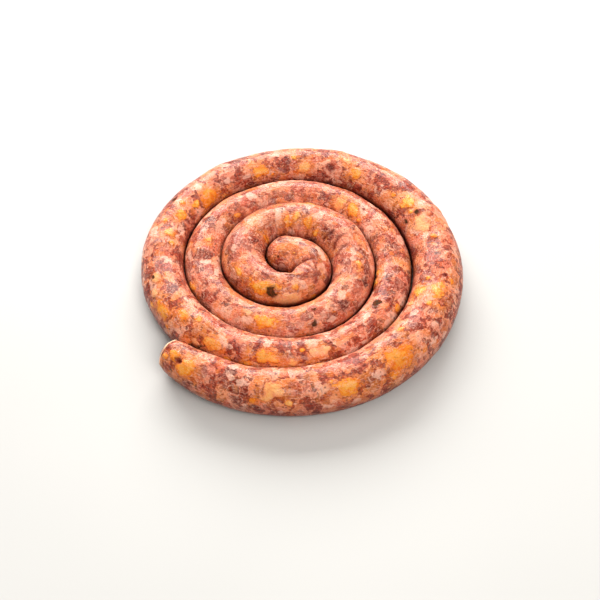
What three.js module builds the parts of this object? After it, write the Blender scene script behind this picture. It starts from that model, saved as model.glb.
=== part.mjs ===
// A long raw sausage wound in a flat spiral, in millimetres, +Z up.
// It lies on the plane z = 0 with its outer end at the front left and its inner end curled in the middle.
// The whole coil is one closed skin: a cylinder bent along the spiral, each cross-section squeezed
// where two turns press on each other and flattened where the sausage lies on the table.
import * as THREE from 'three';

// The spiral, seen from above. Angles in degrees, counted on from the outer end to the inner end.
const SPIRAL_CENTRE = new THREE.Vector2(-11.3, 6.1);
const TURN_SPACING = 32.5;
const FIRST_RADIUS = 127;
const QUARTER_FROM = 225;
const OUTER_END_AT = 228.5;
const INNER_END_AT = 1496;

// Half the thickness of the sausage and how far it strays from the even spiral, at each quarter turn.
const HALF_THICKNESS = [16.5, 18.6, 18.2, 15.9, 16.7, 13.2, 14.2, 14.1, 13.8, 14.4, 17.8, 17.2, 17.0, 16.0, 16.0, 16.0];
const STRAY = [-7.2, 1.5, 2.8, -0.3, -1.6, -0.7, 2.4, 0.4, -1.4, 1.6, 2.0, 1.2, -2.1, -0.6, -0.6, 5.0];

// The gap left between two turns, and how fast a free round side gives way to a pressed one.
const TURN_GAP = 0.8;
const PRESS_BLEND = 1.2;

// The height of a cross-section against its width, and how much of the lower half stays above the table.
const HEIGHT_SHARE = 0.97;
const SEAT_SHARE = 0.9;

// The inner end doubles back on itself in a tight fold.
const FOLD_AT = 1428;
const FOLD_OUT = 1.2;
const FOLD_SPREAD = 32;
const NOTCH_AT = 1434;
const NOTCH_DEPTH = 0.12;
const NOTCH_SPREAD = 12;
const DENT_AT = 1354;
const DENT_DEPTH = 0.16;
const DENT_SPREAD = 24;
const CREASE_POINT = new THREE.Vector2(4.3, -6.2).add(SPIRAL_CENTRE);
const CREASE_TURN = 7;
const CREASE_FROM = 1330;

// The ends: a blunt, thinner, slightly raised outer end and a round inner end after a short straight run.
const OUTER_CAP = 11;
const OUTER_CAP_POWER = 2.8;
const OUTER_TAPER = 0.24;
const OUTER_TAPER_LENGTH = 40;
const OUTER_LIFT = 4;
const OUTER_LIFT_LENGTH = 85;
const INNER_CAP = 15.5;
const INNER_STRAIGHT = 7;
const INNER_PLUMP = 17.5;
const INNER_DROP_IN = 1.2;
const CAP_RINGS = 6;
const CAP_REACH = 0.44 * Math.PI;

// Slow uneven swelling of the filling along the sausage: wavelength in mm and share of the thickness.
const SWELLINGS = [[83, 0.014], [47, 0.012], [31, 0.009]];

// How finely the skin is divided.
const SIDES = 24;
const RING_STEP = 8.6;
const RING_TURN = 9;
const LINING = 0.5;

const radians = THREE.MathUtils.degToRad;

// The value at a place between the entries of a row, on a smooth curve through all of them.
function between(row, place) {
  const first = THREE.MathUtils.clamp(Math.floor(place), 0, row.length - 2);
  const part = THREE.MathUtils.clamp(place - first, 0, 1);
  const [a, b, c, d] = [-1, 0, 1, 2].map((k) => row[THREE.MathUtils.clamp(first + k, 0, row.length - 1)]);
  const square = part * part;
  return 0.5 * (2 * b + (c - a) * part + (2 * a - 5 * b + 4 * c - d) * square
    + (3 * b - a - 3 * c + d) * square * part);
}

function hump(angle, at, spread) {
  return Math.exp(-(((angle - at) / spread) ** 2));
}

function smaller(a, b) {
  return 0.5 * (a + b - Math.hypot(a - b, PRESS_BLEND));
}

function radiusAt(angle) {
  const place = (angle - QUARTER_FROM) / 90;
  return FIRST_RADIUS - TURN_SPACING * (angle - QUARTER_FROM) / 360 + between(STRAY, place)
    + FOLD_OUT * hump(angle, FOLD_AT, FOLD_SPREAD);
}

function halfAt(angle) {
  return between(HALF_THICKNESS, (angle - QUARTER_FROM) / 90);
}

function middleAt(angle) {
  const radius = radiusAt(angle);
  return new THREE.Vector2(Math.cos(radians(angle)), Math.sin(radians(angle)))
    .multiplyScalar(radius).add(SPIRAL_CENTRE);
}

// Direction along the sausage, direction away from the spiral's inside, and bend radius at an angle.
function bendAt(angle) {
  const step = 0.05;
  const before = middleAt(angle - step);
  const here = middleAt(angle);
  const after = middleAt(angle + step);
  const along = after.clone().sub(before).divideScalar(2 * step);
  const change = after.clone().add(before).addScaledVector(here, -2).divideScalar(step * step);
  const pace = along.length();
  const curvature = Math.max(along.cross(change) / pace ** 3, 1e-4);
  along.divideScalar(pace);
  return { along, outward: new THREE.Vector2(along.y, -along.x), bend: 1 / curvature, pace };
}

// The room on one side of the sausage before it meets the neighbouring turn.
function roomBeside(angle, neighbour) {
  if (neighbour < OUTER_END_AT || neighbour > INNER_END_AT) {
    return Infinity;
  }
  const own = halfAt(angle);
  const apart = Math.abs(radiusAt(neighbour) - radiusAt(angle));
  return apart * own / (own + halfAt(neighbour)) - TURN_GAP / 2;
}

// The room towards the crease of the fold, measured from the middle of the sausage inwards.
function roomToCrease(middle, outward) {
  const across = new THREE.Vector2(-Math.sin(radians(CREASE_TURN)), Math.cos(radians(CREASE_TURN)));
  const distance = CREASE_POINT.clone().sub(middle).dot(across);
  const slope = -outward.dot(across);
  return distance * slope > 0 ? distance / slope - TURN_GAP / 2 : Infinity;
}

// The room between the inside of a turn and the round inner end it wraps.
function roomToInnerEnd(middle) {
  const { along, outward } = bendAt(INNER_END_AT);
  const round = middleAt(INNER_END_AT)
    .addScaledVector(along, INNER_STRAIGHT)
    .addScaledVector(outward, -INNER_DROP_IN);
  return middle.distanceTo(round) - INNER_CAP - TURN_GAP;
}

function pressed(free, room) {
  return room === Infinity ? free : smaller(free, room);
}

// One cross-section of the coil: where its middle is and how far it reaches out, in and up.
function sectionAt(angle) {
  const middle = middleAt(angle);
  const { along, outward, bend } = bendAt(angle);
  const half = halfAt(angle);
  const outer = pressed(half, roomBeside(angle, angle - 360));
  let inner = pressed(half, roomBeside(angle, angle + 360));
  inner *= 1 - NOTCH_DEPTH * hump(angle, NOTCH_AT, NOTCH_SPREAD);
  inner *= 1 - DENT_DEPTH * hump(angle, DENT_AT, DENT_SPREAD);
  inner = pressed(inner, bend - LINING);
  if (angle + 360 > INNER_END_AT && angle < CREASE_FROM) {
    inner = pressed(inner, roomToInnerEnd(middle));
  }
  if (angle > CREASE_FROM) {
    inner = pressed(inner, roomToCrease(middle, outward));
  }
  return { middle, along, outward, outer, inner, height: HEIGHT_SHARE * half, share: 1 };
}

// A copy of a section pushed along its own direction, for the straight run and the rounded ends.
function pushed(section, distance, changes) {
  const middle = section.middle.clone().addScaledVector(section.along, distance);
  return { ...section, middle, ...changes };
}

// The straight run to the inner end, which leans inwards and grows plumper on its inside.
function leaning(section, progress) {
  const copy = pushed(section, INNER_STRAIGHT * progress,
    { inner: THREE.MathUtils.lerp(section.inner, INNER_PLUMP, progress) });
  copy.middle.addScaledVector(section.outward, -INNER_DROP_IN * progress ** 2);
  return copy;
}

function allSections() {
  const body = [];
  let angle = OUTER_END_AT;
  while (angle < INNER_END_AT) {
    body.push(sectionAt(angle));
    angle += Math.min(RING_STEP / bendAt(angle).pace, RING_TURN);
  }
  body.push(sectionAt(INNER_END_AT));
  const first = body[0];
  const last = body[body.length - 1];
  const outerEnd = [];
  const innerEnd = [leaning(last, 1 / 3), leaning(last, 2 / 3), leaning(last, 1)];
  const round = innerEnd[2];
  for (let ring = 1; ring <= CAP_RINGS; ring += 1) {
    const turn = CAP_REACH * ring / CAP_RINGS;
    const blunt = (1 - Math.sin(turn) ** OUTER_CAP_POWER) ** (1 / OUTER_CAP_POWER);
    outerEnd.unshift(pushed(first, -OUTER_CAP * Math.sin(turn), { share: blunt }));
    innerEnd.push(pushed(round, INNER_CAP * Math.sin(turn), { share: Math.cos(turn) }));
  }
  return [...outerEnd, ...body, ...innerEnd];
}

// Distance along the sausage from the tip of its outer end, given to every section.
function measured(sections) {
  let distance = 0;
  return sections.map((section, k) => {
    distance += k ? section.middle.distanceTo(sections[k - 1].middle) : 0;
    return { ...section, distance };
  });
}

// A point of the skin: across and up are the point on a circle of radius 1.
function skinPoint(section, across, up) {
  const nearTip = THREE.MathUtils.clamp(1 - section.distance / OUTER_TAPER_LENGTH, 0, 1);
  const nearLift = THREE.MathUtils.clamp(1 - section.distance / OUTER_LIFT_LENGTH, 0, 1);
  const size = 1 - OUTER_TAPER * nearTip ** 1.3;
  const swelling = SWELLINGS.reduce(
    (sum, [wave, share], k) => sum + share * Math.sin(2 * Math.PI * section.distance / wave + 1.7 * k), 0);
  const reach = across > 0 ? section.outer : section.inner;
  const side = across * reach * section.share * size;
  const tall = section.height * (1 + swelling);
  const level = SEAT_SHARE * tall * size + OUTER_LIFT * nearLift ** 2;
  return new THREE.Vector3(
    section.middle.x + section.outward.x * side,
    section.middle.y + section.outward.y * side,
    Math.max(level + up * tall * section.share * size, 0));
}

const sections = measured(allSections());
const geometry = new THREE.CylinderGeometry(1, 1, 1, SIDES, sections.length - 1);
const position = geometry.attributes.position;
for (let k = 0; k < position.count; k += 1) {
  const ring = Math.round((0.5 - position.getY(k)) * (sections.length - 1));
  const point = skinPoint(sections[ring], position.getX(k), -position.getZ(k));
  position.setXYZ(k, point.x, point.y, point.z);
}
geometry.computeVertexNormals();

const casing = new THREE.MeshStandardMaterial({ name: 'sausage_casing', color: 0xcd785f, roughness: 0.4, metalness: 0 });
const sausage = new THREE.Mesh(geometry, casing);
sausage.name = 'sausage';

const coil = new THREE.Group();
coil.name = 'coiled_sausage';
coil.add(sausage);

export default coil;
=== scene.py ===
"""A long raw sausage wound in a flat spiral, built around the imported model. All sizes are in metres."""

import math
import random

import bmesh
import bpy
import numpy as np
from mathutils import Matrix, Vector


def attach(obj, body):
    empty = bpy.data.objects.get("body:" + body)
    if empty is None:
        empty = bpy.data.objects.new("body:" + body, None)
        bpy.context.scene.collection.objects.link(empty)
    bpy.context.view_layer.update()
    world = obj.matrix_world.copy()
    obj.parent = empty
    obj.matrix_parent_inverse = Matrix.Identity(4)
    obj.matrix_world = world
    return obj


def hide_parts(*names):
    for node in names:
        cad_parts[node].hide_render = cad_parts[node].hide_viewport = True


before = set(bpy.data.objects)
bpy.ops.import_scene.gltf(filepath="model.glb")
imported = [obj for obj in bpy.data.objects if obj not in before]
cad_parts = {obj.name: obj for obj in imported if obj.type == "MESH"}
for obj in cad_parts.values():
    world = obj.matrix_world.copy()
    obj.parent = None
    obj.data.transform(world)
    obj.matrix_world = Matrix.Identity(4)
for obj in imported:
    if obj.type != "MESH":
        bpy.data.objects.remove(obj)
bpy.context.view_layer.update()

bl_info = {
    "name": "Coiled Raw Sausage",
    "version": (1, 0, 0),
    "blender": (4, 5, 0),
    "location": "View3D > Sidebar > Sausage",
    "description": "Winds a raw sausage in a flat spiral, with its mince, casing, stage and camera",
    "category": "Object",
}

# The spiral seen from above. Angles in degrees run from the outer end to the inner end.
SPIRAL_CENTRE = np.array([-0.0113, 0.0061])
QUARTER_FROM = 225.0
OUTER_END_AT = 228.5
INNER_END_AT = 1496.0

# Half the thickness and the stray from an even spiral, in mm at each quarter turn.
HALF_THICKNESS = (16.5, 18.6, 18.2, 15.9, 16.7, 13.2, 14.2, 14.1, 13.8, 14.4, 17.8, 17.2, 17.0, 16.0, 16.0, 16.0)
STRAY = (-7.2, 1.5, 2.8, -0.3, -1.6, -0.7, 2.4, 0.4, -1.4, 1.6, 2.0, 1.2, -2.1, -0.6, -0.6, 5.0)

TURN_GAP = 0.0002
PRESS_BLEND = 0.0005
LINING = 0.0005
# How much further than its free shape a side spreads to lie against its neighbour.
SPREAD = 0.0012
# How square the lower half of a section is, free and beside a neighbour. 2 is round.
FREE_SQUARENESS = 2.15
PRESSED_SQUARENESS = 2.7
HEIGHT_SHARE = 0.97
SEAT_SHARE = 0.9
# How far above its widest place the painted shade of a groove sets in, in degrees.
GROOVE_RISE = 38

# Places along the spiral where the inner end folds back: angle, depth, spread.
FOLD = (1428.0, 0.0012, 32.0)
NOTCH = (1434.0, 0.12, 12.0)
DENT = (1354.0, 0.16, 24.0)
CREASE_POINT = SPIRAL_CENTRE + np.array([0.0043, -0.0062])
CREASE_TURN = math.radians(7)
CREASE_FROM = 1330.0

# The fold between the inner end and the front turn is drawn forwards: middle, widths to the left, right and
# front, how far, and the heights between which that sets in.
TUCK_AT = (-0.009, -0.003)
TUCK_WIDTHS = (0.012, 0.0046, 0.0085)
TUCK = 0.0062
TUCK_HEIGHTS = (0.005, 0.019)
# Then it is smoothed: middle, width, and the places between which that sets in.
RELAX_AT = (0.006, 0.0)
RELAX_WIDTH = 0.011
RELAX_FROM = (-0.006, 0.003)
RELAX_TIMES = 60
# It is smoothed, and folds are carved, only above this height.
TOP_FROM = 0.012
CARVE_WIDTH = 0.0009
CARVE_FADE = 0.7

# The ends: the reach of their caps, how the outer one thins and lifts, how the inner one runs straight.
OUTER_CAP = 0.011
OUTER_CAP_POWER = 2.8
OUTER_TAPER = 0.24
OUTER_TAPER_LENGTH = 0.04
OUTER_TAPER_POWER = 1.3
OUTER_LIFT_LENGTH = 0.085
INNER_CAP = 0.0155
INNER_STRAIGHT = 0.007
INNER_PLUMP = 0.0175
INNER_DROP_IN = 0.0012

# Slow swellings of the height: wave length and share of it, each out of step with the one before.
SWELLINGS = ((0.083, 0.014), (0.047, 0.012), (0.031, 0.009))
SWELLING_STEP = 1.7
# Finer swellings of the skin: name, size and height.
SWELLS = (("broad_swell", 0.016, 0.0007), ("small_swell", 0.0055, 0.0006))
# Crumples inside tight bends: wave lengths in degrees along the spiral, slant, depth.
CRUMPLE_WAVES = (11.3, 7.1, 4.7)
CRUMPLE_SLANT = 5
CRUMPLE_DEPTH = 0.0004

# How far lumps rise and pits sink, and how much more so near the outer end.
LUMP_RISE = 0.00055
END_LUMP_RISE = 0.0012
PIT_DEPTH = 0.0006
END_PIT_DEPTH = 0.0013
END_RELIEF_TO = 0.045
# Up to where the outer end's lumps are larger, by how much, and their tint.
END_TINT_TO = 0.042
END_LUMP_GAIN = 0.22
END_LUMP_TINT = 0.15
# How far from the inner tip lumps fade to a haze, and by how much.
HAZE_FROM = (0.06, 0.045)
HAZE_LOSS = 1.05

# The open edge of the casing: steps round it, its roundness, how it sways, and a step along the skin.
RIM_STEPS = 96
RIM_ROUND = 0.25
RIM_SWAY = (0.0005, 0.0003)
RIM_AHEAD = 0.0012

# How finely the skin is divided: sides round it, and two rounds of cuts along it.
SIDES = 84
LONG_CUTS = (31, 35)
CAP_RINGS = 14
STRAIGHT_RINGS = 6
FINE_STEPS = 3000
# Tight bends get more rings: this over the bend's radius is the share added.
BEND_RINGS = 0.012
# A cap ends this share of a half turn round, just short of its pole.
CAP_TURN = 0.495
# Turns degrees round the sausage into metres, for the patterns that follow the skin.
ROUND_RADIUS = 0.016

# Lumps of the filling that stand out: mm along the sausage, degrees round it (90 is up), length and width.
# The last one is a haze on the inner end.
LUMPS = (
    (15.5, 65, 6.2, 6.2), (27.5, 46, 9.5, 11), (9, 46, 4, 3), (89, 54, 13, 11), (141, 48, 14, 12),
    (178, 54, 18, 14), (244, 86, 11, 10),
    (242, 130, 12, 9), (317, 110, 12, 11), (344, 108, 10, 9), (402, 120, 9, 8), (449, 130, 9, 8), (490, 128, 12, 9),
    (546, 134, 15, 10), (579, 110, 9, 8), (603, 108, 8, 8), (649, 72, 9, 8), (675, 44, 12, 9), (691, 72, 9, 7),
    (720, 50, 10, 9), (759, 54, 12, 8), (796, 60, 10, 8), (885, 162, 9, 7), (969, 122, 9, 8), (985, 124, 9, 8),
    (1226, 62, 12, 9), (1383, 122, 9, 8), (1404, 128, 8, 8), (1495, 52, 15, 9), (1509, 26, 11, 9),
    (1556, 115, 26, 22),
)
LUMP_UNIT = 0.0013
# Dark flakes of herb and spice, in the same way.
FLAKES = (
    (1500, 46, 3.6, 5), (1567, 133, 1.7, 1.5), (857, 102, 6, 4), (1258, 48, 4, 3), (330, 108, 3.5, 3),
    (328, 142, 4, 3), (647, 62, 2.5, 2), (1262, 88, 2.5, 2), (566, 60, 3, 2.5),
)
FLAKE_UNIT = 0.0016
# Dark pits and pinches, in the same way.
PITS = ((20.5, 58, 6.5, 4.0), (1449, 184, 5, 5), (425, 126, 9, 7))
PIT_UNIT = 0.001
# Folds and wrinkles of the casing: depth in mm at their two ends, then their line in mm, seen from above.
FOLDS = (
    (1.1, 0.35, (-7.9, -4.6), (-7.2, -3.6), (-6.1, -2.6), (-2.4, -1.2), (2.7, -0.4), (8.6, 1.0), (12.5, 2.4)),
    (0.55, 0.6, (-11.9, -16.8), (-7.7, -17), (-2.4, -16.9), (3.7, -17), (8.5, -15.6), (12.1, -12.2), (17.7, -3.7)),
    (0.6, 0.3, (2.6, -2.7), (6.8, -6.5), (10.2, -8.9)),
    (0.6, 0.3, (-1.6, -6.1), (3.7, -10.5), (8.3, -12.9)),
    (1.0, 0.7, (25.6, 14.2), (26.4, 18.1), (29.5, 21.9), (35.0, 25.1)),
    (0.8, 0.5, (17.9, 24.7), (22.6, 26.4), (28.0, 27.8)),
    (0.8, 0.4, (27.5, 8.0), (31.5, 12.5), (38.0, 15.5)),
)

# How far round a mark it is looked for, in its own lengths, and how square its corners are.
MARK_REACH = 2.5
MARK_POWER = 7
# Lumps drawn beside the placed ones: sizes, and the share that is drawn.
BESIDE_SIZE = (0.0045, 0.008)
BESIDE_SHARE = 0.75
# Lumps drawn elsewhere: sizes, and the clear space along and round them. Then the fat's sizes.
EXTRA_SIZE = (0.005, 0.010)
CLEAR_ALONG = 0.018
CLEAR_ROUND = 55
FAT_SIZE = (0.005, 0.013)
SEED = 7

# The numbers that the skin keeps at each corner for its material; groove, low and crumple mark where shade is
# painted.
SKIN_MASKS = ("lump", "lump_tint", "fat_lump", "flake", "groove", "low", "crumple", "pit")

# Soft lights that face the middle: name, place, size, power and colour. Then the light of the room.
LAMPS = (
    ("window", (-0.15, 1.15, 0.75), (1.5, 0.8), 40.5, (1.0, 0.99, 0.97)),
    ("front_fill", (0.3, -0.9, 1.2), (1.0, 0.6), 13, (1.0, 0.97, 0.93)),
    ("top", (0.0, 0.1, 1.4), (1.2, 1.2), 5, (1, 1, 1)),
)
ROOM_COLOUR = (1.0, 0.98, 0.96, 1)
ROOM_LIGHT = 0.22
FLOOR_SIZE = 6
SENSOR_WIDTH = 36


# Shape --------------------


def between(row, place):
    """The value at a place between a row's entries, on a smooth curve through all of them."""
    row = np.asarray(row, float)
    first = np.clip(np.floor(place), 0, len(row) - 2).astype(int)
    part = np.clip(place - first, 0, 1)
    a, b, c, d = (row[np.clip(first + k, 0, len(row) - 1)] for k in (-1, 0, 1, 2))
    curve = (2 * a - 5 * b + 4 * c - d) * part**2 + (3 * b - a - 3 * c + d) * part**3
    return 0.5 * (2 * b + (c - a) * part + curve)


def hump(value, at, spread):
    return np.exp(-(((value - at) / spread) ** 2))


def smaller(a, b):
    return 0.5 * (a + b - np.hypot(a - b, PRESS_BLEND))


def pressed(free, room):
    """How far a side reaches when it has only that much room."""
    real = np.isfinite(room)
    return np.where(real, smaller(free, np.where(real, room, 0)), free)


class Spiral:
    """The sausage's middle line and its half-widths, from the sizes the user sets."""

    def __init__(self, sizes):
        self.spacing = sizes.turn_spacing
        self.radius = sizes.first_radius

    def radius_at(self, angle):
        place = (angle - QUARTER_FROM) / 90
        even = self.radius - self.spacing * place / 4
        return even + 0.001 * between(STRAY, place) + FOLD[1] * hump(angle, FOLD[0], FOLD[2])

    def half_at(self, angle):
        return 0.001 * between(HALF_THICKNESS, (angle - QUARTER_FROM) / 90)

    def middle_at(self, angle):
        turn = np.radians(angle)
        return SPIRAL_CENTRE + np.stack([np.cos(turn), np.sin(turn)], -1) * self.radius_at(angle)[:, None]

    def bend_at(self, angle):
        """Direction along, direction outward, bend radius and pace per degree."""
        step = 0.05
        before, here, after = (self.middle_at(angle + k * step) for k in (-1, 0, 1))
        along = (after - before) / (2 * step)
        change = (after + before - 2 * here) / step**2
        pace = np.linalg.norm(along, axis=1)
        curve = (along[:, 0] * change[:, 1] - along[:, 1] * change[:, 0]) / pace**3
        along = along / pace[:, None]
        return along, np.stack([along[:, 1], -along[:, 0]], -1), 1 / np.maximum(curve, 0.1), pace

    def room_beside(self, angle, neighbour):
        own = self.half_at(angle)
        apart = np.abs(self.radius_at(neighbour) - self.radius_at(angle))
        room = apart * own / (own + self.half_at(neighbour)) - TURN_GAP / 2
        return np.where((neighbour < OUTER_END_AT) | (neighbour > INNER_END_AT), np.inf, room)

    def room_to_crease(self, middle, outward):
        across = np.array([-math.sin(CREASE_TURN), math.cos(CREASE_TURN)])
        distance = (CREASE_POINT - middle) @ across
        slope = -outward @ across
        facing = distance * slope > 0
        return np.where(facing, distance / np.where(facing, slope, 1) - TURN_GAP / 2, np.inf)

    def room_to_inner_end(self, middle):
        last = np.array([INNER_END_AT])
        along, outward, _, _ = self.bend_at(last)
        middle_of_end = self.middle_at(last) + along * INNER_STRAIGHT - outward * INNER_DROP_IN
        return np.linalg.norm(middle - middle_of_end, axis=1) - INNER_CAP - TURN_GAP

    def sections_at(self, angle):
        middle = self.middle_at(angle)
        along, outward, bend, _ = self.bend_at(angle)
        half = self.half_at(angle)
        beside_outer = self.room_beside(angle, angle - 360)
        beside_inner = self.room_beside(angle, angle + 360)
        outer = pressed(half + SPREAD * np.isfinite(beside_outer), beside_outer)
        inner = pressed(half + SPREAD * np.isfinite(beside_inner), beside_inner)
        for at, depth, spread in (NOTCH, DENT):
            inner = inner * (1 - depth * hump(angle, at, spread))
        inner = pressed(inner, bend - LINING)
        wraps = (angle + 360 > INNER_END_AT) & (angle < CREASE_FROM)
        inner = np.where(wraps, pressed(inner, self.room_to_inner_end(middle)), inner)
        folds = angle > CREASE_FROM
        inner = np.where(folds, pressed(inner, self.room_to_crease(middle, outward)), inner)
        return {
            "angle": angle,
            "middle": middle,
            "along": along,
            "outward": outward,
            "outer": outer,
            "inner": inner,
            "touches_outer": np.isfinite(beside_outer) * 1.0,
            "touches_inner": (np.isfinite(beside_inner) | (angle > INNER_END_AT - 420)) * 1.0,
            "half": half,
            "curl": half / bend,
            "share": np.ones(len(angle)),
        }

    def sections(self, count):
        """All the cross-sections from the outer tip to the inner tip."""
        body_count = count - 2 * CAP_RINGS - STRAIGHT_RINGS
        fine = np.linspace(OUTER_END_AT, INNER_END_AT, FINE_STEPS)
        _, _, bend, pace = self.bend_at(fine)
        density = pace * (1 + BEND_RINGS / bend)
        total = np.concatenate([[0], np.cumsum((density[1:] + density[:-1]) / 2 * np.diff(fine))])
        body = self.sections_at(np.interp(np.linspace(0, total[-1], body_count), total, fine))

        def repeated(rows, at, times):
            return {key: np.repeat(value[at : at + 1], times, axis=0) for key, value in rows.items()}

        turn = CAP_TURN * math.pi * np.arange(1, CAP_RINGS + 1) / CAP_RINGS
        head = repeated(body, 0, CAP_RINGS)
        head["middle"] = head["middle"] - head["along"] * (OUTER_CAP * np.sin(turn))[:, None]
        head["share"] = (1 - np.sin(turn) ** OUTER_CAP_POWER) ** (1 / OUTER_CAP_POWER)
        head = {key: value[::-1] for key, value in head.items()}

        progress = np.arange(1, STRAIGHT_RINGS + 1)[:, None] / STRAIGHT_RINGS
        run = repeated(body, body_count - 1, STRAIGHT_RINGS)
        lean = INNER_STRAIGHT * progress * run["along"] - INNER_DROP_IN * progress**2 * run["outward"]
        run["middle"] = run["middle"] + lean
        run["inner"] = run["inner"] * (1 - progress[:, 0]) + INNER_PLUMP * progress[:, 0]

        tail = repeated(run, STRAIGHT_RINGS - 1, CAP_RINGS)
        tail["middle"] = tail["middle"] + tail["along"] * (INNER_CAP * np.sin(turn))[:, None]
        tail["share"] = np.cos(turn)

        rows = {key: np.concatenate([head[key], body[key], run[key], tail[key]]) for key in body}
        steps = np.linalg.norm(np.diff(rows["middle"], axis=0), axis=1)
        rows["distance"] = np.concatenate([[0], np.cumsum(steps)])
        return rows


def select_only(piece):
    bpy.ops.object.select_all(action="DESELECT")
    piece.select_set(True)
    bpy.context.view_layer.objects.active = piece


def long_rod(name):
    """A straight rod cut across into rings, one metre to each side of the middle."""
    bpy.ops.object.select_all(action="DESELECT")
    bpy.ops.mesh.primitive_cylinder_add(vertices=SIDES, radius=1, depth=2, end_fill_type="TRIFAN")
    rod = bpy.context.active_object
    rod.name = rod.data.name = name
    bpy.ops.object.mode_set(mode="EDIT")
    bpy.ops.mesh.select_mode(type="EDGE")
    for cuts in LONG_CUTS:
        bpy.ops.mesh.select_all(action="DESELECT")
        cage = bmesh.from_edit_mesh(rod.data)
        for edge in cage.edges:
            start, end = (corner.co for corner in edge.verts)
            edge.select = abs(start.z - end.z) > 1e-6
        bmesh.update_edit_mesh(rod.data)
        bpy.ops.mesh.subdivide(number_cuts=cuts)
    bpy.ops.object.mode_set(mode="OBJECT")
    return rod


def triples(rows, field):
    flat = np.empty(3 * len(rows))
    rows.foreach_get(field, flat)
    return flat.reshape(-1, 3)


def corners_of(piece, field="co"):
    """Every corner's place, or its normal."""
    return triples(piece.data.vertices, field)


def move_corners(piece, points):
    piece.data.vertices.foreach_set("co", points.astype(np.float32).ravel())
    piece.data.update()


def keep_values(piece, name, values):
    """Stores a number or a triple for each corner, for the materials."""
    values = np.asarray(values, np.float32)
    kind, field = ("FLOAT", "value") if values.ndim == 1 else ("FLOAT_VECTOR", "vector")
    piece.data.attributes.new(name, kind, "POINT").data.foreach_set(field, values.ravel())


class Wound:
    """Every corner's section, its place on the section and the shape it gets by them."""

    def __init__(self, rod, spiral, sizes):
        count = (LONG_CUTS[0] + 1) * (LONG_CUTS[1] + 1) + 1
        rows = spiral.sections(count)
        corners = corners_of(rod)
        ring = np.clip(np.rint((1 - corners[:, 2]) / 2 * (count - 1)).astype(int), 0, count - 1)
        self.rows = {key: value[ring] for key, value in rows.items()}
        self.across, self.up = corners[:, 0], corners[:, 1]
        self.turn = np.degrees(np.arctan2(self.up, self.across)) % 360
        self.distance = self.rows["distance"]
        self.length = rows["distance"][-1]
        near_tip = np.clip(1 - self.distance / OUTER_TAPER_LENGTH, 0, 1)
        near_lift = np.clip(1 - self.distance / OUTER_LIFT_LENGTH, 0, 1)
        size = 1 - OUTER_TAPER * near_tip**OUTER_TAPER_POWER
        swelling = sum(
            share * np.sin(2 * math.pi * self.distance / wave + SWELLING_STEP * k)
            for k, (wave, share) in enumerate(SWELLINGS)
        )
        reach = np.where(self.across > 0, self.rows["outer"], self.rows["inner"])
        touches = np.where(self.across > 0, self.rows["touches_outer"], self.rows["touches_inner"])
        lower = FREE_SQUARENESS + (PRESSED_SQUARENESS - FREE_SQUARENESS) * touches
        squareness = np.where(self.up > 0, 2, lower)
        across = np.sign(self.across) * np.abs(self.across) ** (2 / squareness)
        up = np.sign(self.up) * np.abs(self.up) ** (2 / squareness)
        side = across * reach * self.rows["share"] * size
        tall = HEIGHT_SHARE * self.rows["half"] * (1 + swelling)
        level = SEAT_SHARE * tall * size + sizes.end_lift * near_lift**2
        self.level = level + up * tall * self.rows["share"] * size
        flat = self.rows["middle"] + self.rows["outward"] * side[:, None]
        self.points = np.column_stack([flat, np.maximum(self.level, 0)])
        # The share of its relief that the skin gets: none underneath, nor where it is pressed.
        self.free = np.clip((self.up + 0.55) / 0.5, 0, 1) * (1 - touches * np.clip((0.3 - self.up) / 0.3, 0, 1))
        # Painted shade of the grooves: how far below the rise a side beside a neighbour is darkened.
        rise = np.degrees(np.arctan2(self.up, np.abs(self.across)))
        self.groove = touches * smooth_step(-rise, -GROOVE_RISE, 0)
        # Crumples inside tight bends: carved a little into the skin, and painted darker as painted shade.
        angle = self.rows["angle"] + CRUMPLE_SLANT * self.up
        ripple = sum(np.sin(2 * math.pi * angle / wave + wave) for wave in CRUMPLE_WAVES) / len(CRUMPLE_WAVES)
        inner_side = smooth_step(-self.across, 0.0, 0.95) * (self.rows["share"] > 0.999)
        self.crumple = inner_side * smooth_step(self.rows["curl"], 0.24, 0.5) * smooth_step(ripple, -0.1, 0.7)
        self.round_size = self.rows["half"] * size

    def closeness(self, marks, sides=5):
        """How deep inside a mark each corner lies, 1 in its middle and 0 at its edge, and the mark's tint."""
        best, tint = np.full(len(self.distance), -2.0), np.zeros(len(self.distance))
        for number, (along, turn, long, wide, skew) in enumerate(marks):
            near = np.abs(self.distance - along) < MARK_REACH * long
            here = (self.distance[near] - along) / (0.5 * long)
            arc = np.radians((self.turn[near] - turn + 180) % 360 - 180) * self.round_size[near]
            there = arc / (0.5 * wide)
            here, there = here + skew * there, there - skew * here
            draw = random.Random(number)
            apart = np.zeros(len(here))
            for side in range(sides):
                facing = 2 * math.pi * (side + draw.uniform(-0.25, 0.25)) / sides
                reach = draw.uniform(0.78, 1.05)
                ahead = (here * math.cos(facing) + there * math.sin(facing)) / reach
                apart += np.maximum(ahead, 0) ** MARK_POWER
            apart = apart ** (1 / MARK_POWER)
            closer = 1 - apart > best[near]
            best[near] = np.where(closer, 1 - apart, best[near])
            tint[near] = np.where(closer, (number * 0.618) % 1, tint[near])
        return best, tint


def placed_marks(rows, unit):
    """A table's marks as along, turn, long, wide and skew, with that many metres to its unit of size."""
    draw = random.Random(SEED + 1)
    return [
        (0.001 * along, turn, unit * long, unit * wide, draw.uniform(-0.4, 0.4)) for along, turn, long, wide in rows
    ]


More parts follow.
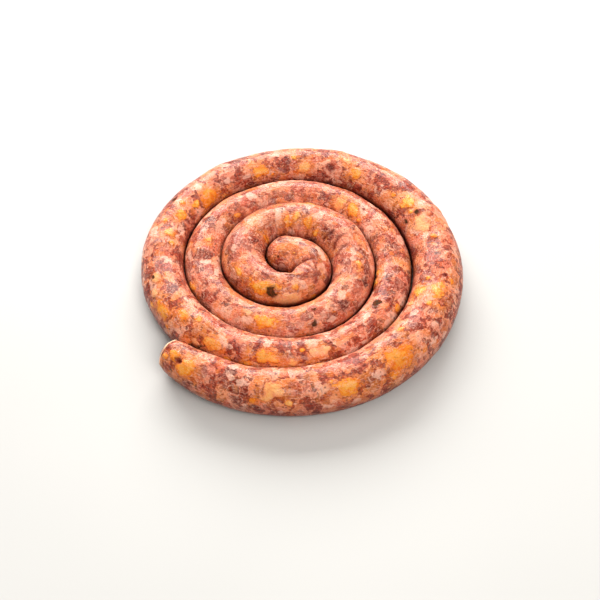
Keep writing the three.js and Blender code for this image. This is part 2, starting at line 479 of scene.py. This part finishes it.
def lump_marks(wound, sizes):
    """The placed lumps, smaller ones beside all but the end ones, and others anywhere."""
    draw = random.Random(SEED)
    marks = placed_marks(LUMPS, LUMP_UNIT)
    for along, turn, long, _, _ in marks[3:-1]:
        for side in (-1, 1):
            size = draw.uniform(*BESIDE_SIZE)
            beside = along + side * draw.uniform(0.5, 0.75) * (long + size)
            if draw.random() < BESIDE_SHARE:
                marks.append((beside, turn + draw.uniform(-30, 30), size, size * draw.uniform(0.7, 1), side * 0.4))
    placed = len(marks)
    tries = 0
    while len(marks) < placed + sizes.extra_lumps and tries < 4000:
        tries += 1
        along = draw.uniform(0.04, wound.length - 0.06)
        turn = draw.uniform(-60, 240)
        long = draw.uniform(*EXTRA_SIZE)
        clear = all(
            abs(along - mark[0]) > CLEAR_ALONG or abs((turn - mark[1] + 180) % 360 - 180) > CLEAR_ROUND
            for mark in marks
        )
        if clear:
            marks.append((along, turn, long, long * draw.uniform(0.65, 1.0), draw.uniform(-0.35, 0.35)))
    return marks


def fat_marks(wound, sizes):
    """Pale lumps drawn all over."""
    draw = random.Random(SEED + 2)
    return [
        (
            draw.uniform(0.03, wound.length), draw.uniform(-50, 230),
            size := draw.uniform(*FAT_SIZE), size * draw.uniform(0.45, 0.9), draw.uniform(-0.9, 0.9),
        )
        for _ in range(sizes.fat_lumps)
    ]


def to_line(points, line):
    """How far each point is from a bent line, and how far along the line it is, from 0 to 1."""
    nearest, way = np.full(len(points), np.inf), np.zeros(len(points))
    for number, (start, end) in enumerate(zip(line[:-1], line[1:])):
        step = end - start
        part = np.clip((points - start) @ step / (step @ step), 0, 1)
        apart = np.linalg.norm(points - start - part[:, None] * step, axis=1)
        way = np.where(apart < nearest, (number + part) / (len(line) - 1), way)
        nearest = np.minimum(nearest, apart)
    return nearest, way


def smooth_step(value, low, high):
    part = np.clip((value - low) / (high - low), 0, 1)
    return part * part * (3 - 2 * part)


def add_group(piece, name, shares):
    """A vertex group with each corner's share, in twentieths."""
    group = piece.vertex_groups.new(name=name)
    levels = np.rint(shares * 20).astype(int)
    for level in range(1, 21):
        members = np.flatnonzero(levels == level)
        if len(members):
            group.add(members.tolist(), level / 20, "REPLACE")


def modify(piece, kind, **settings):
    """Adds a modifier and applies it."""
    select_only(piece)
    bpy.ops.object.modifier_add(type=kind)
    modifier = piece.modifiers[-1]
    for key, value in settings.items():
        setattr(modifier, key, value)
    bpy.ops.object.modifier_apply(modifier=modifier.name)


def add_swell(piece, name, size, height):
    """Pushes the skin in and out by soft noise."""
    texture = bpy.data.textures.new(name, "CLOUDS")
    texture.noise_scale = size
    texture.noise_depth = 1
    modify(
        piece, "DISPLACE",
        texture=texture, texture_coords="LOCAL", strength=height, mid_level=0.5, vertex_group="free",
    )


def tuck_fold(points):
    """Draws the fold at the inner end forwards."""
    aside = points[:, 0] - TUCK_AT[0]
    aside = aside / np.where(aside < 0, TUCK_WIDTHS[0], TUCK_WIDTHS[1])
    apart = np.hypot(aside, (points[:, 1] - TUCK_AT[1]) / TUCK_WIDTHS[2])
    points[:, 1] -= TUCK * hump(apart, 0, 1) * smooth_step(points[:, 2], *TUCK_HEIGHTS)


def relax_fold(rod, points):
    """Smooths the skin where the inner end grows out of the front turn."""
    apart = np.linalg.norm(points[:, :2] - RELAX_AT, axis=1)
    share = hump(apart, 0, RELAX_WIDTH) * smooth_step(points[:, 0], *RELAX_FROM) * (points[:, 2] > TOP_FROM)
    add_group(rod, "fold_end", share)
    modify(rod, "SMOOTH", factor=0.5, iterations=RELAX_TIMES, vertex_group="fold_end")


def mark_push(wound, lumps, pit):
    """How far lumps, pits and crumples push the skin out."""
    at_end = wound.distance < END_RELIEF_TO
    push = LUMP_RISE * smooth_step(lumps, -0.25, 0.5) * wound.free
    push += END_LUMP_RISE * at_end * smooth_step(lumps, -0.1, 0.45)
    push -= np.where(at_end, END_PIT_DEPTH, PIT_DEPTH) * smooth_step(pit, -0.3, 0.5)
    return push - CRUMPLE_DEPTH * wound.crumple * wound.free


def fold_depth(points):
    """How deep the carved folds are at each point, in mm."""
    folded = np.zeros(len(points))
    for first, last, *line in FOLDS:
        apart, way = to_line(points[:, :2], 0.001 * np.array(line))
        depth = (first + (last - first) * way) * hump(apart, 0, CARVE_WIDTH) * (points[:, 2] > TOP_FROM)
        folded = np.maximum(folded, depth * smooth_step(-way, -1, -CARVE_FADE))
    return folded


def wind_sausage(sizes):
    rod = long_rod("sausage_skin")
    wound = Wound(rod, Spiral(sizes), sizes)
    lumps, tints = wound.closeness(lump_marks(wound, sizes))
    fat_lumps, _ = wound.closeness(fat_marks(wound, sizes), 7)
    flakes, _ = wound.closeness(placed_marks(FLAKES, FLAKE_UNIT), 7)
    pit, _ = wound.closeness(placed_marks(PITS, PIT_UNIT))
    at_end = wound.distance < END_TINT_TO
    hazy = smooth_step(wound.distance, wound.length - HAZE_FROM[0], wound.length - HAZE_FROM[1])
    lumps += END_LUMP_GAIN * at_end - HAZE_LOSS * hazy
    tints = np.where(at_end, END_LUMP_TINT, tints)
    move_corners(rod, wound.points)

    add_group(rod, "free", wound.free)
    for swell in SWELLS:
        add_swell(rod, *swell)
    points = corners_of(rod)
    tuck_fold(points)
    move_corners(rod, points)
    relax_fold(rod, points)

    points = corners_of(rod) + corners_of(rod, "normal") * mark_push(wound, lumps, pit)[:, None]
    folded = fold_depth(points)
    points[:, 2] -= 0.001 * folded
    points[:, 2] = np.where(wound.level <= 0, 0, np.maximum(points[:, 2], 0))
    move_corners(rod, points)

    # Painted shade for the material: darker along crumples and carved folds, and towards the underside.
    crumple = np.maximum(wound.crumple, 1.5 * np.sqrt(folded))
    low = smooth_step(-wound.up, -0.55, 0.9)
    for name, values in zip(SKIN_MASKS, (lumps, tints, fat_lumps, flakes, wound.groove, low, crumple, pit)):
        keep_values(rod, name, values)
    around = np.radians(wound.turn) * ROUND_RADIUS
    keep_values(rod, "place", np.column_stack([wound.distance, around, np.zeros(len(around))]))
    select_only(rod)
    bpy.ops.object.shade_smooth()
    rod.vertex_groups.clear()
    return rod


def unit_rows(rows):
    return rows / np.linalg.norm(rows, axis=1)[:, None]


def edge_casing(skin, sizes):
    """Lays the open edge of the casing round the outer end, on the skin."""
    place = triples(skin.data.attributes["place"].data, "vector")
    rings = np.unique(place[:, 0])
    points = corners_of(skin)

    bpy.ops.object.select_all(action="DESELECT")
    bpy.ops.mesh.primitive_torus_add(
        major_segments=RIM_STEPS, minor_segments=10, major_radius=1, minor_radius=RIM_ROUND, location=(0, 0, 0)
    )
    rim = bpy.context.active_object
    rim.name = rim.data.name = "casing_rim"
    corners = corners_of(rim)
    turn = np.arctan2(corners[:, 1], corners[:, 0]) % (2 * math.pi)
    outwards = (np.hypot(corners[:, 0], corners[:, 1]) - 1) / RIM_ROUND
    sideways = corners[:, 2] / RIM_ROUND

    def on_skin(turns, distance):
        """A point of the skin at each turn round it and distance from the tip."""
        where = np.interp(distance, rings, np.arange(len(rings)))
        found = []
        for each_turn, each_ring in zip(turns, where):
            pair = []
            for ring in (math.floor(each_ring), math.floor(each_ring) + 1):
                members = np.flatnonzero(place[:, 0] == rings[ring])
                order = members[np.argsort(place[members, 1])]
                around = place[order, 1] / ROUND_RADIUS
                pair.append([np.interp(each_turn, around, points[order, k], period=2 * math.pi) for k in range(3)])
            share = each_ring - math.floor(each_ring)
            found.append((1 - share) * np.array(pair[0]) + share * np.array(pair[1]))
        return np.array(found)

    turns = np.arange(RIM_STEPS) * 2 * math.pi / RIM_STEPS
    sway = RIM_SWAY[0] * np.sin(3 * turns + 1) + RIM_SWAY[1] * np.sin(7 * turns)
    line = on_skin(turns, sizes.rim_from_tip + sway)
    ahead = unit_rows(on_skin(turns, sizes.rim_from_tip + sway + RIM_AHEAD) - line)
    run = np.roll(line, -1, axis=0) - np.roll(line, 1, axis=0)
    out = unit_rows(np.cross(run, ahead))
    out = out * np.sign(np.sum(out * (line - line.mean(axis=0)), axis=1))[:, None]

    step = np.rint(turn / (2 * math.pi) * RIM_STEPS).astype(int) % RIM_STEPS
    thick = sizes.rim_thickness * (1 + 0.35 * np.sin(5 * turns + 0.6) * np.sin(2 * turns))[step]
    shape = line[step] + out[step] * (thick * (0.25 + 0.5 * outwards))[:, None]
    shape = shape + ahead[step] * (thick * 1.1 * sideways)[:, None]
    shape[:, 2] = np.maximum(shape[:, 2], 0)
    move_corners(rim, shape)
    select_only(rim)
    bpy.ops.object.mode_set(mode="EDIT")
    bpy.ops.mesh.select_all(action="SELECT")
    bpy.ops.mesh.normals_make_consistent(inside=False)
    bpy.ops.object.mode_set(mode="OBJECT")
    bpy.ops.object.shade_smooth()
    return rim


# Materials --------------------


def tone(red, green, blue):
    """A colour as a screen shows it, 0 to 255, in the scene's own linear values."""
    values = [channel / 255 for channel in (red, green, blue)]
    linear = [v / 12.92 if v <= 0.04045 else ((v + 0.055) / 1.055) ** 2.4 for v in values]
    return (*linear, 1)


class Board:
    """Adds and joins nodes on one node tree."""

    def __init__(self, tree):
        self.tree = tree

    def fill(self, node, inputs):
        """Joins or sets a node's inputs."""
        for key, value in inputs.items():
            if isinstance(value, bpy.types.NodeSocket):
                self.tree.links.new(value, node.inputs[key])
            else:
                node.inputs[key].default_value = value

    def add(self, kind, inputs=None, **settings):
        node = self.tree.nodes.new(kind)
        for key, value in settings.items():
            setattr(node, key, value)
        self.fill(node, inputs or {})
        return node

    def math(self, operation, first, second=0):
        return self.add("ShaderNodeMath", {0: first, 1: second}, operation=operation).outputs[0]

    def times(self, first, second):
        return self.math("MULTIPLY", first, second)

    def plus(self, first, second):
        return self.math("ADD", first, second)

    def ramp(self, value, low, high, start=0, end=1):
        inputs = {"Value": value, "From Min": low, "From Max": high, "To Min": start, "To Max": end}
        return self.add("ShaderNodeMapRange", inputs, interpolation_type="SMOOTHSTEP").outputs["Result"]

    def span(self, value, low, high):
        inputs = {"Value": value, "From Min": low, "From Max": high}
        return self.add("ShaderNodeMapRange", inputs, clamp=True).outputs["Result"]

    def graded(self, value, stops):
        """A colour from a row of places and colours."""
        node = self.add("ShaderNodeValToRGB", {"Fac": value})
        row = node.color_ramp.elements
        row[0].position, row[0].color = stops[0]
        row[1].position, row[1].color = stops[-1]
        for position, colour in stops[1:-1]:
            row.new(position).color = colour
        return node.outputs["Color"]

    def mix(self, share, first, second, blend="MIX"):
        node = self.add("ShaderNodeMix", {0: share, 6: first, 7: second}, data_type="RGBA", blend_type=blend)
        return node.outputs[2]

    def swung(self, value, noise, reach):
        """The value, moved up and down by a noise."""
        return self.plus(value, self.ramp(noise, 0.3, 0.7, -reach, reach))

    def noise(self, vector, scale, detail=3, roughness=0.55, distortion=0, output="Fac"):
        inputs = {
            "Vector": vector, "Scale": scale, "Detail": detail, "Roughness": roughness, "Distortion": distortion,
        }
        return self.add("ShaderNodeTexNoise", inputs).outputs[output]

    def place(self):
        return self.add("ShaderNodeTexCoord").outputs["Object"]

    def stretch(self, vector, scale):
        return self.add("ShaderNodeMapping", {"Vector": vector, "Scale": scale}).outputs["Vector"]

    def bump(self, height, strength, distance):
        inputs = {"Height": height, "Strength": strength, "Distance": distance}
        return self.add("ShaderNodeBump", inputs).outputs["Normal"]

    def cells(self, given, feature="F1"):
        inputs = {"Vector": given["Vector"], "Scale": given["Per Metre"]}
        return self.add("ShaderNodeTexVoronoi", inputs, feature=feature).outputs


def use_group(board, name, inputs, outputs, wire):
    """Places a shader node group with these inputs, and wires it up the first time."""
    if name not in bpy.data.node_groups:
        tree = bpy.data.node_groups.new(name, "ShaderNodeTree")
        for way, names in (("INPUT", inputs), ("OUTPUT", outputs)):
            for socket in names:
                kind = "NodeSocketVector" if socket == "Vector" else "NodeSocketFloat"
                tree.interface.new_socket(socket, in_out=way, socket_type=kind)
        inner = Board(tree)
        results = wire(inner, inner.add("NodeGroupInput").outputs)
        inner.fill(inner.add("NodeGroupOutput"), results)
    return board.add("ShaderNodeGroup", inputs, node_tree=bpy.data.node_groups[name]).outputs


def wire_shaken(board, given):
    place = given["Vector"]
    for reach, scale, detail in ((given["Coarse"], 160, 1), (given["Fine"], 620, 2)):
        wave = board.noise(given["Vector"], scale, detail, output="Color")
        centred = board.add("ShaderNodeVectorMath", {0: wave, 1: (0.5, 0.5, 0.5)}, operation="SUBTRACT").outputs[0]
        move = board.add("ShaderNodeVectorMath", {0: centred, "Scale": reach}, operation="SCALE").outputs[0]
        place = board.add("ShaderNodeVectorMath", {0: place, 1: move}, operation="ADD").outputs[0]
    return {"Vector": place}


def shaken_place(board, vector, coarse, fine):
    """A vector shaken by two sizes of noise, so that cells get ragged edges."""
    inputs = {"Vector": vector, "Coarse": coarse, "Fine": fine}
    return use_group(board, "Shaken Place", inputs, ["Vector"], wire_shaken)["Vector"]


def wire_bits(board, given):
    value = board.add("ShaderNodeSeparateColor", {"Color": board.cells(given)["Color"]}).outputs["Red"]
    edge = board.cells(given, "DISTANCE_TO_EDGE")["Distance"]
    return {"Value": value, "Inside": board.ramp(edge, 0, given["Softness"])}


def mince_bits(board, vector, per_metre, softness):
    """Bits of the mince as cells: each one's random value, and how far inside it a point lies."""
    inputs = {"Vector": vector, "Per Metre": per_metre, "Softness": softness}
    return use_group(board, "Mince Bits", inputs, ["Value", "Inside"], wire_bits)


def wire_specks(board, given):
    cells = board.cells(given)
    draws = board.add("ShaderNodeSeparateColor", {"Color": cells["Color"]}).outputs
    chosen = board.math("LESS_THAN", draws["Blue"], given["Share"])
    radius = board.times(given["Radius"], board.plus(draws["Red"], 0.5))
    return {"Mask": board.times(chosen, board.ramp(cells["Distance"], board.times(radius, 0.5), radius, 1, 0))}


def specks(board, vector, per_metre, share, radius):
    """Small round specks in a share of cells."""
    inputs = {"Vector": vector, "Per Metre": per_metre, "Share": share, "Radius": radius}
    return use_group(board, "Specks", inputs, ["Mask"], wire_specks)["Mask"]


class Mince:
    """The skin's masks and noises, and the colour that the steps below lay on."""

    def __init__(self, board):
        self.board = board
        for name in SKIN_MASKS:
            setattr(self, name, board.add("ShaderNodeAttribute", attribute_name=name).outputs["Fac"])
        self.place = board.add("ShaderNodeAttribute", attribute_name="place").outputs["Vector"]
        self.here = board.place()
        self.shaken = shaken_place(board, self.here, 0.006, 0.0026)
        self.jostled = shaken_place(board, self.here, 0.0055, 0.0022)
        self.swirled = shaken_place(board, self.here, 0.012, 0.003)
        away = {"Vector": self.swirled, "Location": (3.1, 1.7, 2.3)}
        self.elsewhere = board.add("ShaderNodeMapping", away).outputs["Vector"]
        self.middle = board.noise(self.shaken, 150, 3, 0.6)
        self.fine = board.noise(self.here, 430, 3, 0.7)
        self.grain = board.noise(self.here, 950, 2, 0.7)
        self.ragged = board.noise(self.here, 190, 3, 0.55)
        self.streaks = board.noise(board.stretch(self.place, (230, 820, 1)), 1, 3, 0.6, 1.2)
        self.lump_depth = board.swung(self.lump, self.ragged, 0.26)
        self.lump_mask = board.ramp(self.lump_depth, -0.02, 0.12)
        self.flake_depth = board.swung(self.flake, self.ragged, 0.45)

    def lay(self, tone, mask, share=1, blend="MIX"):
        mask = mask if share == 1 else self.board.times(mask, share)
        self.colour = self.board.mix(mask, self.colour, tone, blend)


def lay_meat(board, look, at):
    """Marbled meat in chunks, crumbs and grains."""
    meats = [
        (0, look.deep), (0.25, look.lean), (0.45, look.meat), (0.58, look.ground), (0.76, look.pale), (1, look.fat),
    ]
    broad = board.noise(at.swirled, 60, 2)
    small = board.plus(board.times(at.middle, 0.38), board.times(at.fine, 0.28))
    marble = board.plus(board.times(broad, 0.34), small)
    at.colour = board.graded(board.span(marble, 0.395, 0.595), meats)
    chunks = mince_bits(board, at.jostled, 124, 0.08)
    at.lay(board.graded(chunks["Value"], meats), chunks["Inside"], 0.88)
    at.lay(look.pale, board.math("SUBTRACT", 1, chunks["Inside"]), 0.35)
    crumbs = mince_bits(board, at.shaken, 290, 0.22)
    at.crumbs = crumbs["Inside"]
    at.lay(board.graded(crumbs["Value"], meats), at.crumbs, 0.3)
    at.lay(look.grain, board.ramp(at.grain, 0.48, 0.36, 0, 0.5), blend="MULTIPLY")
    at.lay(look.fat, board.ramp(at.grain, 0.54, 0.66, 0, 0.16))


def lay_stains(board, look, at):
    """Orange and pink stretches, lean patches, painted highlight streaks and dark streaks."""
    at.lay(look.tan, board.ramp(board.noise(at.elsewhere, 55, 2), 0.5, 0.64), 0.5)
    at.lay(look.blush, board.ramp(board.noise(at.elsewhere, 40, 2), 0.5, 0.4), 0.3)
    at.lay(look.tan, board.ramp(board.swung(at.lump, at.middle, 0.8), -1.3, 0, 0, 0.5))
    patches = board.ramp(board.noise(at.elsewhere, 95, 2.5, 0.55), 0.47, 0.415)
    along = board.add("ShaderNodeSeparateXYZ", {"Vector": at.place}).outputs["X"]
    patches = board.times(patches, board.ramp(along, 0.75, 1.25, 0.86, 0.42))
    mottles = [(0, look.deep), (0.5, look.lean), (1, look.meat)]
    at.lay(board.graded(board.span(at.fine, 0.35, 0.65), mottles), patches)
    at.off_lean = board.ramp(patches, 0, 1, 1, 0.4)
    at.lay(look.stain, specks(board, at.shaken, 130, 0.13, 0.5), 0.6)
    # Pale streaks along the casing: painted highlight lines.
    at.lay(look.fat, board.times(board.ramp(at.streaks, 0.54, 0.68, 0, 0.5), at.off_lean))
    at.lay(look.deep, board.ramp(at.streaks, 0.45, 0.32, 0, 0.24))


def lay_lumps(board, look, at):
    """The fat and the orange lumps, each lump with a haze and a broken outline."""
    at.lay(look.fat, board.ramp(board.swung(at.fat_lump, at.ragged, 0.5), -0.1, 0.2), 0.62)
    at.lay(look.stain, board.ramp(at.lump_depth, -0.45, 0), 0.32)
    edge = board.ramp(at.lump_depth, -0.3, -0.06, 0, 0.55)
    at.lay(look.lean, board.times(edge, board.ramp(at.middle, 0.5, 0.58)))
    cloudy = board.times(board.math("SUBTRACT", board.plus(at.fine, at.ragged), 1), 1.1)
    tones = [(0, look.lump_deep), (0.4, look.lump), (0.9, look.lump_pale)]
    tone = board.graded(board.plus(board.ramp(at.lump_depth, 0, 0.7, 0.1, 0.5), cloudy), tones)
    tone = board.mix(board.ramp(at.lump_tint, 0.65, 1, 0, 0.4), tone, look.fat)
    tone = board.mix(board.ramp(at.lump_tint, 0.4, 0, 0, 0.4), tone, look.lump_deep)
    at.lay(tone, at.lump_mask, 0.95)


def lay_specks(board, look, at):
    """Dark blots and specks, pale glints, spice and the pits."""
    off_lumps = board.ramp(at.lump_mask, 0, 1, 1, 0.4)
    at.lay(look.deep, board.times(specks(board, at.shaken, 200, 0.24, 0.4), board.times(off_lumps, 0.4)))
    at.lay(look.deep, board.times(specks(board, at.here, 400, 0.24, 0.34), board.times(off_lumps, 0.6)))
    # Pale glints: painted highlights in the colour of the fat.
    at.lay(look.fat, board.times(specks(board, at.elsewhere, 420, 0.3, 0.38), board.times(at.off_lean, 0.45)))
    at.lay(look.flake, specks(board, at.elsewhere, 75, 0.12, 0.11), 0.85)
    at.lay(look.lean, board.ramp(at.pit, -0.4, 0.2, 0, 0.85))
    at.lay(look.deep, board.ramp(at.pit, 0, 0.8, 0, 0.8))


def lay_casing(board, look, at):
    """The casing's pale strands and dark flakes, and the shade of folds, low parts and grooves."""
    strands = board.noise(board.stretch(at.place, (90, 300, 1)), 1, 4, 0.6, 1)
    strands = board.ramp(board.math("ABSOLUTE", board.math("SUBTRACT", strands, 0.5)), 0, 0.02, 0.42, 0)
    at.lay(look.fat, board.times(strands, at.off_lean))
    at.lay(look.deep, board.ramp(at.flake_depth, -0.7, 0.2, 0, 0.5))
    flake_tone = board.mix(board.ramp(at.fine, 0.45, 0.62, 0, 0.25), look.flake, look.meat)
    at.lay(flake_tone, board.ramp(at.flake_depth, -0.1, 0.2, 0, 0.95))
    # Painted shade: the crumples and folds, the low parts and the grooves are darkened, the grooves' middles darker
    # still.
    for mask, share in ((at.crumple, 0.7), (at.low, 0.95), (at.groove, 0.85)):
        at.lay(look.shade, mask, share, "MULTIPLY")
    at.lay(look.deep, board.ramp(at.groove, 0.6, 1, 0, 0.8), blend="MULTIPLY")


def new_material(name):
    """A material, its board and its shader."""
    material = bpy.data.materials.new(name)
    material.use_nodes = True
    return material, Board(material.node_tree), material.node_tree.nodes["Principled BSDF"]


def mince_material(look):
    material, board, skin = new_material("mince_in_casing")
    at = Mince(board)
    for step in (lay_meat, lay_stains, lay_lumps, lay_specks, lay_casing):
        step(board, look, at)
    roughness = board.ramp(board.noise(at.here, 300, 3), 0.3, 0.7, 0.36, 0.6)
    relief = board.times(at.fine, 0.6)
    for field, share in ((at.lump_mask, 0.3), (at.crumbs, 0.25), (at.streaks, 0.5), (at.grain, 0.6)):
        relief = board.plus(relief, board.times(field, share))
    finish = {
        "Base Color": at.colour,
        "Roughness": board.plus(roughness, board.ramp(at.flake_depth, -0.1, 0.2, 0, 0.4)),
        "IOR": 1.4,
        "Specular IOR Level": 0.16,
        "Normal": board.bump(relief, 0.9, 0.001),
        "Subsurface Weight": 0.12,
        "Subsurface Radius": (1, 0.4, 0.25),
        "Subsurface Scale": 0.0014,
        "Coat Weight": board.ramp(at.flake_depth, -0.1, 0.2, 0.32, 0.02),
        "Coat Roughness": 0.13,
        "Coat IOR": 1.4,
    }
    board.fill(skin, finish)
    return material


def rim_material(look):
    material, board, skin = new_material("dry_casing_edge")
    cloudy = board.noise(shaken_place(board, board.place(), 0.003, 0.001), 380, 3, 0.6)
    tones = [(0, look.stain), (0.3, look.fat), (1, look.casing)]
    finish = {
        "Base Color": board.graded(board.span(cloudy, 0.32, 0.68), tones),
        "Roughness": board.ramp(cloudy, 0.3, 0.7, 0.45, 0.25),
        "Normal": board.bump(cloudy, 0.4, 0.0004),
        "Subsurface Weight": 0.3,
        "Subsurface Radius": (1, 0.6, 0.35),
        "Subsurface Scale": 0.001,
        "Coat Weight": 0.5,
        "Coat Roughness": 0.15,
    }
    board.fill(skin, finish)
    return material


def floor_material(look):
    material, board, skin = new_material("pale_floor")
    tint = board.ramp(board.noise(board.place(), 3, 2), 0.3, 0.7)
    dim = tuple(0.96 * channel for channel in look.floor[:3]) + (1,)
    board.fill(skin, {"Base Color": board.mix(tint, dim, look.floor), "Roughness": 0.7})
    return material


# The add-on's settings, operators and panel --------------------


def length(name, description, default):
    return bpy.props.FloatProperty(name=name, description=description, default=default, unit="LENGTH", precision=4)


def colour_of(name, description, red, green, blue):
    return bpy.props.FloatVectorProperty(
        name=name, description=description, subtype="COLOR", size=4, min=0, max=1, default=tone(red, green, blue)
    )


class SausageSizes(bpy.types.PropertyGroup):
    turn_spacing: length("Turn spacing", "How much the spiral closes in with each turn", 0.0325)
    first_radius: length("First radius", "Radius of the spiral at its outer end", 0.127)
    end_lift: length("End lift", "How far the outer end rises from the table", 0.004)
    extra_lumps: bpy.props.IntProperty(
        name="Extra lumps", description="Lumps drawn at random besides the placed ones", default=26, min=0
    )
    rim_from_tip: length("Rim from tip", "How far the casing's open edge lies from the outer tip", 0.0042)
    rim_thickness: length("Rim thickness", "How thick the casing's open edge is", 0.0006)
    fat_lumps: bpy.props.IntProperty(name="Fat lumps", description="Pale lumps drawn at random", default=200, min=0)


class SausageLook(bpy.types.PropertyGroup):
    deep: colour_of("Deep lean meat", "The darkest meat and its specks", 82, 10, 3)
    lean: colour_of("Lean meat", "Dull red-brown patches", 136, 33, 12)
    meat: colour_of("Meat", "Between the lean and the ground", 194, 70, 36)
    ground: colour_of("Ground meat", "The main tone", 232, 118, 76)
    pale: colour_of("Pale meat", "Smears of meat and fat", 246, 151, 112)
    # Also the colour of the painted glints and the painted highlight streaks.
    fat: colour_of("Fat", "The palest bits and strands", 255, 196, 170)
    tan: colour_of("Tan", "Orange stretches round the lumps", 242, 138, 56)
    blush: colour_of("Blush", "Pink stretches", 228, 128, 104)
    grain: colour_of("Grain", "What the finest dark spots are darkened by", 160, 116, 96)
    stain: colour_of("Stains", "Orange spots and the rims of the lumps", 232, 116, 36)
    lump_deep: colour_of("Lump edges", "The deepest orange of the lumps", 236, 114, 20)
    lump: colour_of("Lumps", "Orange lumps under the casing", 250, 154, 40)
    lump_pale: colour_of("Lump middles", "The paler parts of the lumps", 255, 196, 104)
    casing: colour_of("Casing edge", "The pale open edge of the casing", 250, 222, 160)
    flake: colour_of("Flakes", "Dark flakes of herb and spice", 64, 42, 20)
    # Painted shade: this colour darkens the crumples and folds, the low parts and the grooves between turns.
    shade: colour_of("Painted shade", "What the low parts and the grooves are darkened by", 144, 74, 56)
    floor: colour_of("Floor", "The plain pale floor", 205, 204, 201)


class StageSettings(bpy.types.PropertyGroup):
    camera_place: bpy.props.FloatVectorProperty(
        name="Camera place", description="Where the camera stands", default=(-0.00087, -0.6106, 0.7205), unit="LENGTH"
    )
    camera_pitch: bpy.props.FloatProperty(
        name="Camera pitch", description="How far the camera looks down", default=math.radians(50.48), unit="ROTATION"
    )
    camera_lens: bpy.props.FloatProperty(
        name="Lens", description="Focal length on a 36 mm sensor", default=72.0, unit="CAMERA"
    )


class SAUSAGE_OT_wind(bpy.types.Operator):
    """Winds the sausage with its lumps and gives it its mince"""

    bl_idname = "sausage.wind"
    bl_label = "Wind the sausage"

    def execute(self, context):
        scene = context.scene
        piece = wind_sausage(scene.sausage_sizes)
        piece.data.materials.append(mince_material(scene.sausage_look))
        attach(piece, "root")
        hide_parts("sausage")
        return {"FINISHED"}


class SAUSAGE_OT_edge(bpy.types.Operator):
    """Adds the open edge of the casing at the outer end"""

    bl_idname = "sausage.edge"
    bl_label = "Edge the casing"

    def execute(self, context):
        scene = context.scene
        piece = edge_casing(bpy.data.objects["sausage_skin"], scene.sausage_sizes)
        piece.data.materials.append(rim_material(scene.sausage_look))
        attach(piece, "root")
        return {"FINISHED"}


def add_lamp(name, place, size, power, colour):
    lamp = bpy.data.lights.new(name, "AREA")
    lamp.shape = "RECTANGLE"
    lamp.size, lamp.size_y = size
    lamp.energy = power
    lamp.color = colour
    holder = bpy.data.objects.new(name, lamp)
    holder.location = place
    holder.rotation_euler = (-Vector(place)).to_track_quat("-Z", "Y").to_euler()
    bpy.context.scene.collection.objects.link(holder)


class SAUSAGE_OT_stage(bpy.types.Operator):
    """Adds the floor, the soft lights and the camera"""

    bl_idname = "sausage.stage"
    bl_label = "Set the stage"

    def execute(self, context):
        scene = context.scene
        settings = scene.sausage_stage
        bpy.ops.object.select_all(action="DESELECT")
        bpy.ops.mesh.primitive_plane_add(size=FLOOR_SIZE)
        floor = context.active_object
        floor.name = "floor"
        floor.data.materials.append(floor_material(scene.sausage_look))

        for lamp in LAMPS:
            add_lamp(*lamp)

        world = bpy.data.worlds.new("soft_room")
        world.use_nodes = True
        backdrop = world.node_tree.nodes["Background"]
        backdrop.inputs["Color"].default_value = ROOM_COLOUR
        backdrop.inputs["Strength"].default_value = ROOM_LIGHT
        scene.world = world
        scene.view_settings.view_transform = "Standard"

        camera = bpy.data.objects.new("camera", bpy.data.cameras.new("camera"))
        camera.data.lens = settings.camera_lens
        camera.data.sensor_width = SENSOR_WIDTH
        camera.location = settings.camera_place
        camera.rotation_euler = (math.pi / 2 - settings.camera_pitch, 0, 0)
        scene.collection.objects.link(camera)
        scene.camera = camera
        return {"FINISHED"}


class SAUSAGE_PT_panel(bpy.types.Panel):
    """Lists the sausage's settings and operators"""

    bl_idname = "SAUSAGE_PT_panel"
    bl_label = "Coiled Sausage"
    bl_space_type = "VIEW_3D"
    bl_region_type = "UI"
    bl_category = "Sausage"

    def draw(self, context):
        for settings in (context.scene.sausage_sizes, context.scene.sausage_look, context.scene.sausage_stage):
            for name in settings.__annotations__:
                self.layout.prop(settings, name)
        for operator in OPERATORS:
            self.layout.operator(operator.bl_idname)


OPERATORS = (SAUSAGE_OT_wind, SAUSAGE_OT_edge, SAUSAGE_OT_stage)
CLASSES = (SausageSizes, SausageLook, StageSettings, *OPERATORS, SAUSAGE_PT_panel)


def register():
    for each in CLASSES:
        bpy.utils.register_class(each)
    bpy.types.Scene.sausage_sizes = bpy.props.PointerProperty(type=SausageSizes)
    bpy.types.Scene.sausage_look = bpy.props.PointerProperty(type=SausageLook)
    bpy.types.Scene.sausage_stage = bpy.props.PointerProperty(type=StageSettings)


def unregister():
    del bpy.types.Scene.sausage_stage
    del bpy.types.Scene.sausage_look
    del bpy.types.Scene.sausage_sizes
    for each in reversed(CLASSES):
        bpy.utils.unregister_class(each)


def main():
    register()
    bpy.ops.sausage.wind()
    bpy.ops.sausage.edge()
    bpy.ops.sausage.stage()


if __name__ == "__main__":
    main()
